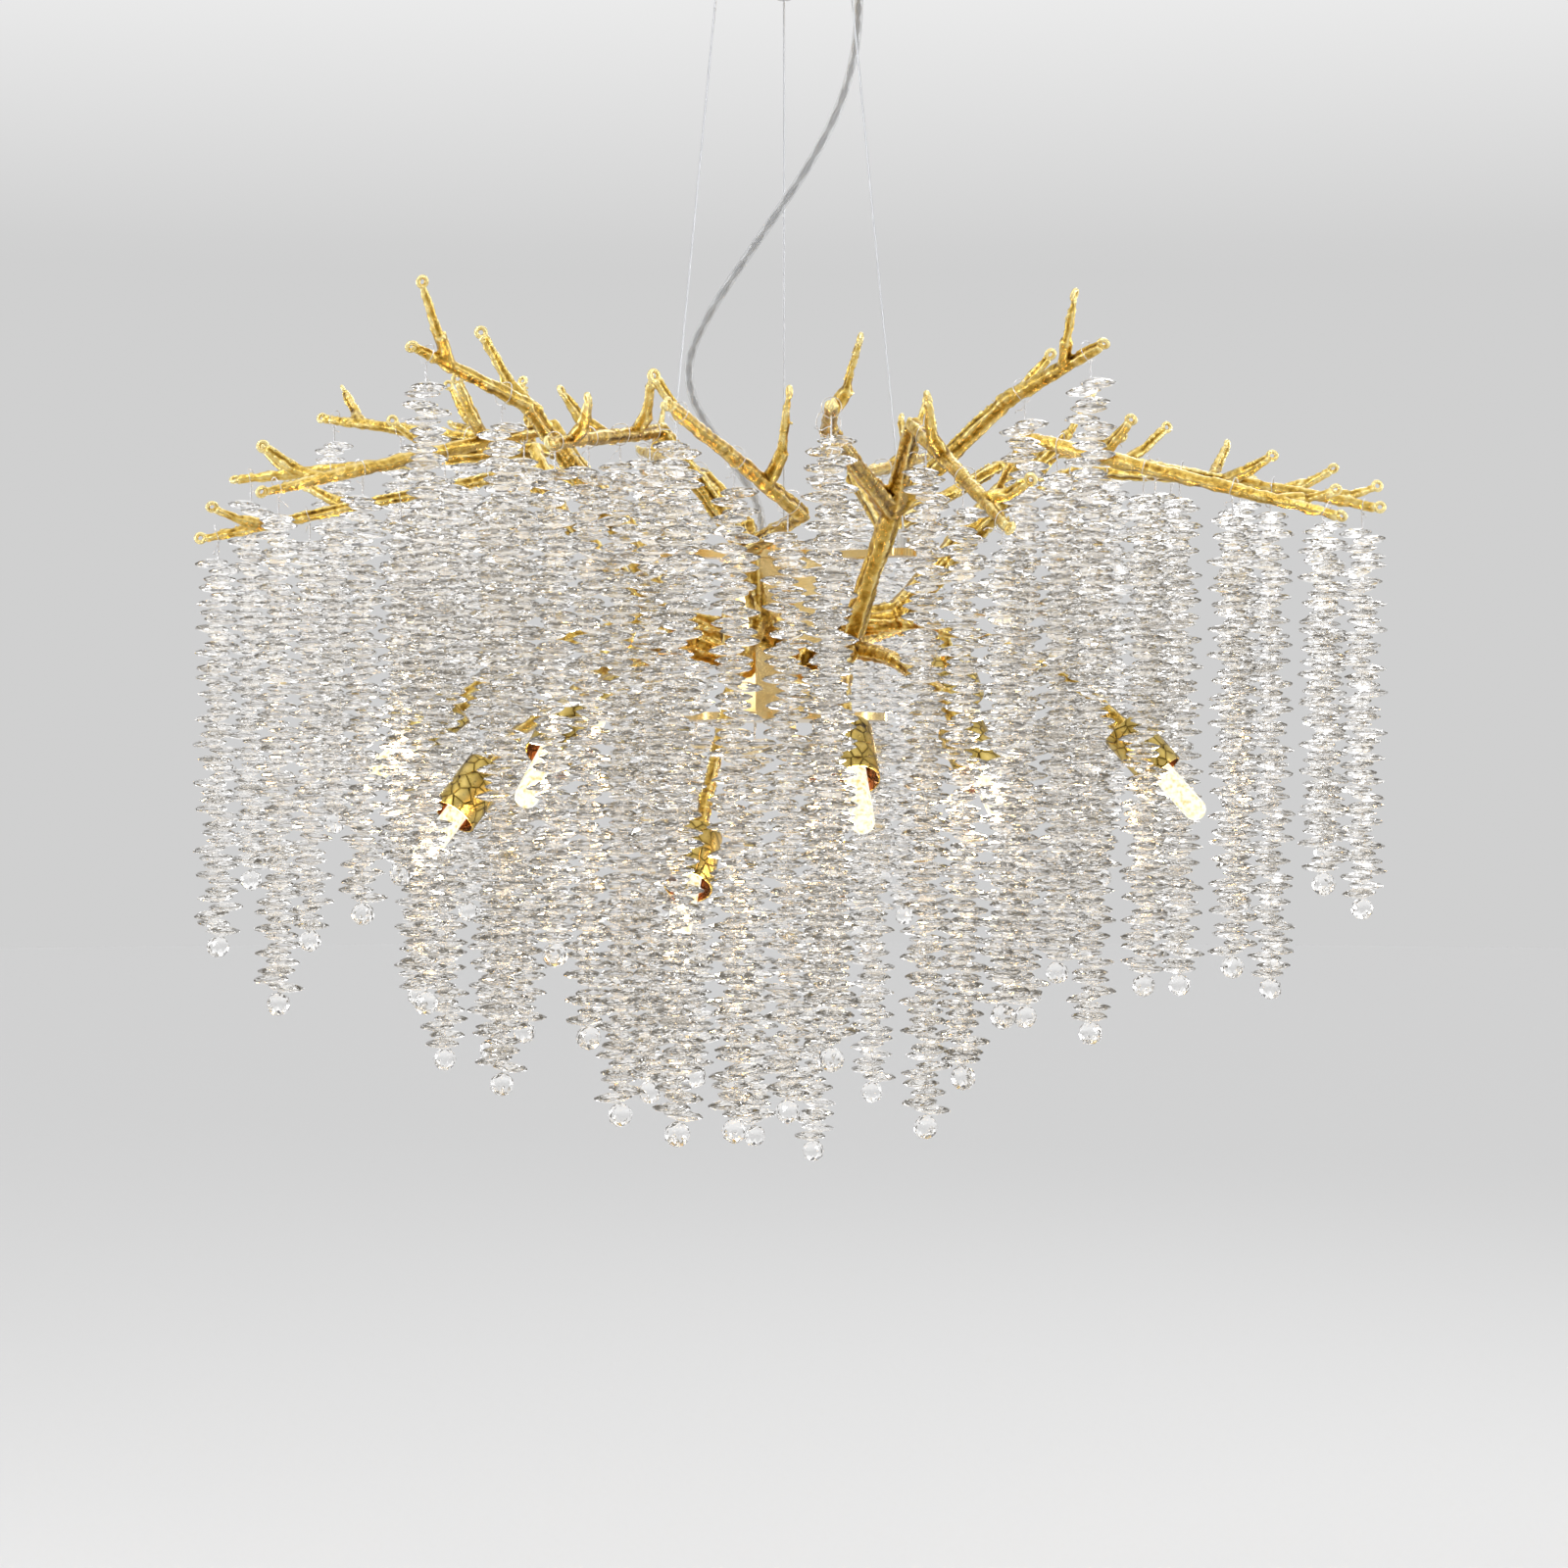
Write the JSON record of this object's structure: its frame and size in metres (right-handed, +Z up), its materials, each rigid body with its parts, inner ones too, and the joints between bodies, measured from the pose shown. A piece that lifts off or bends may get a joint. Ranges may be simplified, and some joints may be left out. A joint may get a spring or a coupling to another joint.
{
  "type": "crystal chandelier",
  "caption": "Chandelier whose gold cast branches carry lines of hanging crystal disc strands and capsule lamps in textured cups, on steel cables.",
  "frame": {"origin": "centre of the ceiling bracket's top face, where the light is screwed to the ceiling", "axes": "+Z up to the ceiling, -Y is the side that the picture shows, +X to its right"},
  "size_m": [0.788, 0.7823, 0.8623],
  "materials": {
    "cast_gold": "cast, bark-textured, polished and gold plated",
    "gold_sheet": "polished, gold plated",
    "cup_gold": "leaf-vein texture, gold plated",
    "steel": "zinc plated",
    "chrome": "nickel plated, bright",
    "cable_steel": "twisted wire cable",
    "clear_pvc": "clear sheath over silvery cores",
    "crystal": "clear, cut and polished",
    "bulb_glass": "clear capsule, lit warm white",
    "porcelain": "white glazed porcelain"
  },
  "bodies": {
    "frame": {"branch_1": "cast_gold", "branch_2": "cast_gold", "branch_3": "cast_gold", "branch_4": "cast_gold", "branch_5": "cast_gold", "branch_6": "cast_gold", "branch_7": "cast_gold", "branch_8": "cast_gold", "branch_9": "cast_gold", "cable_back": "cable_steel", "cable_grips": "chrome", "cable_left": "cable_steel", "cable_right": "cable_steel", "cable_stops": "chrome", "canopy": "gold_sheet", "canopy_screws": "steel", "ceiling_bracket": "steel", "cord_grip": "gold_sheet", "hub_bottom_plate": "gold_sheet", "hub_core": "gold_sheet", "hub_gland": "gold_sheet", "hub_rod": "gold_sheet", "hub_top_plate": "gold_sheet", "lamp_cup_b": "cup_gold", "lamp_cup_c": "cup_gold", "lamp_cup_d": "cup_gold", "lamp_cup_i": "cup_gold", "lamp_cups": "cup_gold", "lamp_sockets": "porcelain", "power_cord": "clear_pvc"},
    "row_01": {"strand_row_01": "crystal"},
    "row_02": {"strand_row_02": "crystal"},
    "row_03": {"strand_row_03": "crystal"},
    "row_04": {"strand_row_04": "crystal"},
    "row_05": {"strand_row_05": "crystal"},
    "row_06": {"strand_row_06": "crystal"},
    "row_07": {"strand_row_07": "crystal"},
    "row_08": {"strand_row_08": "crystal"},
    "row_09": {"strand_row_09": "crystal"},
    "row_10": {"strand_row_10": "crystal"},
    "row_11": {"strand_row_11": "crystal"},
    "row_12": {"strand_row_12": "crystal"},
    "row_13": {"strand_row_13": "crystal"},
    "row_14": {"strand_row_14": "crystal"},
    "row_15": {"strand_row_15": "crystal"},
    "row_16": {"strand_row_16": "crystal"},
    "row_17": {"strand_row_17": "crystal"},
    "row_18": {"strand_row_18": "crystal"},
    "row_centre": {"strand_row_centre": "crystal"},
    "bulb_a": {"bulb_a": "bulb_glass"},
    "bulb_b": {"bulb_b": "bulb_glass"},
    "bulb_c": {"bulb_c": "bulb_glass"},
    "bulb_d": {"bulb_d": "bulb_glass"},
    "bulb_e": {"bulb_e": "bulb_glass"},
    "bulb_f": {"bulb_f": "bulb_glass"},
    "bulb_g": {"bulb_g": "bulb_glass"},
    "bulb_h": {"bulb_h": "bulb_glass"},
    "bulb_i": {"bulb_i": "bulb_glass"},
    "bulb_j": {"bulb_j": "bulb_glass"}
  },
  "joints": [
    {"name": "row_01_swing", "type": "hinge", "parent": "frame", "child": "row_01", "pos_m": [0.37828, 0.05991, -0.405], "axis": [-0.9817, -0.0967, 0.1639], "range_deg": [-11, 8]},
    {"name": "row_02_swing", "type": "hinge", "parent": "frame", "child": "row_02", "pos_m": [0.33673, 0.18665, -0.38], "axis": [-0.8932, -0.4497, 0], "range_deg": [-10, 10]},
    {"name": "row_03_swing", "type": "hinge", "parent": "frame", "child": "row_03", "pos_m": [0.25427, 0.2824, -0.34], "axis": [-0.6671, -0.7127, -0.2169], "range_deg": [-7, 9]},
    {"name": "row_04_swing", "type": "hinge", "parent": "frame", "child": "row_04", "pos_m": [0.11256, 0.36818, -0.345], "axis": [-0.3071, -0.9374, -0.1643], "range_deg": [-12, 8]},
    {"name": "row_05_swing", "type": "hinge", "parent": "frame", "child": "row_05", "pos_m": [-0.11256, 0.36818, -0.34], "axis": [0.2683, -0.9443, -0.1908], "range_deg": [-7, 7]},
    {"name": "row_06_swing", "type": "hinge", "parent": "frame", "child": "row_06", "pos_m": [-0.2493, 0.28679, -0.33], "axis": [0.6506, -0.7197, -0.2425], "range_deg": [-8, 5]},
    {"name": "row_07_swing", "type": "hinge", "parent": "frame", "child": "row_07", "pos_m": [-0.33342, 0.1925, -0.335], "axis": [0.8639, -0.4761, -0.1643], "range_deg": [-9, 9]},
    {"name": "row_08_swing", "type": "hinge", "parent": "frame", "child": "row_08", "pos_m": [-0.37423, 0.06599, -0.39], "axis": [0.9874, -0.1349, 0.0829], "range_deg": [-4, 9]},
    {"name": "row_09_swing", "type": "hinge", "parent": "frame", "child": "row_09", "pos_m": [-0.37423, -0.06599, -0.44], "axis": [0.9645, 0.1508, 0.2169], "range_deg": [-3, 4]},
    {"name": "row_10_swing", "type": "hinge", "parent": "frame", "child": "row_10", "pos_m": [-0.3161, -0.1825, -0.42], "axis": [0.8095, 0.5314, 0.2496], "range_deg": [-2, 2]},
    {"name": "row_11_swing", "type": "hinge", "parent": "frame", "child": "row_11", "pos_m": [-0.2165, -0.24905, -0.345], "axis": [0.6485, 0.7065, -0.2833], "range_deg": [-1, 2]},
    {"name": "row_12_swing", "type": "hinge", "parent": "frame", "child": "row_12", "pos_m": [-0.13065, -0.35896, -0.41], "axis": [0.2561, 0.9569, 0.1366], "range_deg": [-1, 1]},
    {"name": "row_13_swing", "type": "hinge", "parent": "frame", "child": "row_13", "pos_m": [-0.06023, -0.38026, -0.395], "axis": [0.4254, 0.8631, -0.2723], "range_deg": [-3, 3]},
    {"name": "row_14_swing", "type": "hinge", "parent": "frame", "child": "row_14", "pos_m": [0.02658, -0.38007, -0.393], "axis": [-0.0115, 0.9992, -0.0387], "range_deg": [-7, 2]},
    {"name": "row_15_swing", "type": "hinge", "parent": "frame", "child": "row_15", "pos_m": [0.12469, -0.36213, -0.455], "axis": [-0.2912, 0.8457, 0.4472], "range_deg": [-2, 2]},
    {"name": "row_16_swing", "type": "hinge", "parent": "frame", "child": "row_16", "pos_m": [0.18769, -0.22368, -0.34], "axis": [-0.6042, 0.7376, -0.3013], "range_deg": [-9, 3]},
    {"name": "row_17_swing", "type": "hinge", "parent": "frame", "child": "row_17", "pos_m": [0.33673, -0.18665, -0.435], "axis": [-0.8518, 0.4503, 0.2676], "range_deg": [-3, 7]},
    {"name": "row_18_swing", "type": "hinge", "parent": "frame", "child": "row_18", "pos_m": [0.3821, -0.06738, -0.42], "axis": [-0.9667, 0.1705, 0.1909], "range_deg": [-9, 3]},
    {"name": "row_centre_swing", "type": "hinge", "parent": "frame", "child": "row_centre", "pos_m": [0, 0, -0.562], "axis": [1, 0, 0], "range_deg": [-20, 20]},
    {"name": "bulb_a_pull", "type": "slide", "parent": "frame", "child": "bulb_a", "axis": [-0.766, 0, -0.6428], "range_m": [0, 0.03]},
    {"name": "bulb_b_pull", "type": "slide", "parent": "frame", "child": "bulb_b", "axis": [-0.52, -0.4211, -0.7431], "range_m": [0, 0.03]},
    {"name": "bulb_c_pull", "type": "slide", "parent": "frame", "child": "bulb_c", "axis": [-0.3546, -0.5675, -0.7431], "range_m": [0, 0.03]},
    {"name": "bulb_d_pull", "type": "slide", "parent": "frame", "child": "bulb_d", "axis": [-0.3165, 0.5595, -0.766], "range_m": [0, 0.03]},
    {"name": "bulb_e_pull", "type": "slide", "parent": "frame", "child": "bulb_e", "axis": [-0.0783, 0.638, -0.766], "range_m": [0, 0.03]},
    {"name": "bulb_f_pull", "type": "slide", "parent": "frame", "child": "bulb_f", "axis": [-0.1446, -0.6263, -0.766], "range_m": [0, 0.03]},
    {"name": "bulb_g_pull", "type": "slide", "parent": "frame", "child": "bulb_g", "axis": [0.1116, -0.633, -0.766], "range_m": [0, 0.03]},
    {"name": "bulb_h_pull", "type": "slide", "parent": "frame", "child": "bulb_h", "axis": [0.3193, -0.588, -0.7431], "range_m": [0, 0.03]},
    {"name": "bulb_i_pull", "type": "slide", "parent": "frame", "child": "bulb_i", "axis": [0.3165, 0.5595, -0.766], "range_m": [0, 0.03]},
    {"name": "bulb_j_pull", "type": "slide", "parent": "frame", "child": "bulb_j", "axis": [0.63, -0.2256, -0.7431], "range_m": [0, 0.03]}
  ]
}
